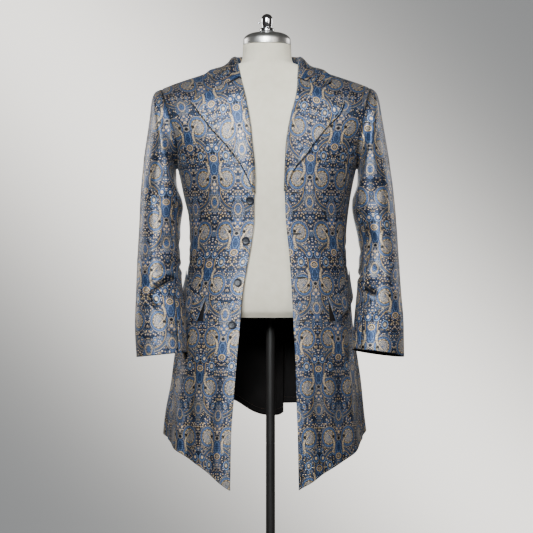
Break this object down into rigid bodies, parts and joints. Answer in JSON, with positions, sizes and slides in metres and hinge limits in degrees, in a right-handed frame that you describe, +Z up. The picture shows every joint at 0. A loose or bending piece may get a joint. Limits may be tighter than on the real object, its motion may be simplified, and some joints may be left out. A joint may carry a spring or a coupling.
{
  "type": "frock coat on dress form",
  "caption": "Knee-length open frock coat of paisley brocade with notched lapels, slanted pocket flaps and a vented back, on a limbless dress form with a pole stand.",
  "frame": {"origin": "on the floor, on the underside of the stand's base, in the plane of the coat's middle", "axes": "+Z up; -Y is the coat's front; -X is the wearer's right"},
  "size_m": [0.6052, 0.3441, 1.6256],
  "materials": {
    "brocade": "satin jacquard in navy, blue, taupe and gold",
    "black_satin": "satin lining",
    "black_button": "semi-gloss blue-black",
    "cream_linen": "matt linen over a firm form",
    "brushed_silver": "fine brushed",
    "chrome": "polished",
    "black_stand": "semi-gloss"
  },
  "bodies": {
    "root": {"front_right": "brocade", "side_right": "brocade", "back_right": "brocade", "top_sleeve_right": "brocade", "under_sleeve_right": "brocade", "lapel_right": "brocade", "pocket_flap_right": "brocade", "flap_lining_right": "black_satin", "skirt_lining_right": "black_satin", "front_left": "brocade", "side_left": "brocade", "back_left": "brocade", "top_sleeve_left": "brocade", "under_sleeve_left": "brocade", "lapel_left": "brocade", "pocket_flap_left": "brocade", "flap_lining_left": "black_satin", "skirt_lining_left": "black_satin", "collar": "brocade", "button_1": "black_button", "button_2": "black_button", "button_3": "black_button", "button_4": "black_button", "torso": "cream_linen", "neck_cap": "brushed_silver", "finial": "chrome", "set_screw": "chrome", "pole": "black_stand", "stand_base": "black_stand"}
  },
  "joints": []
}
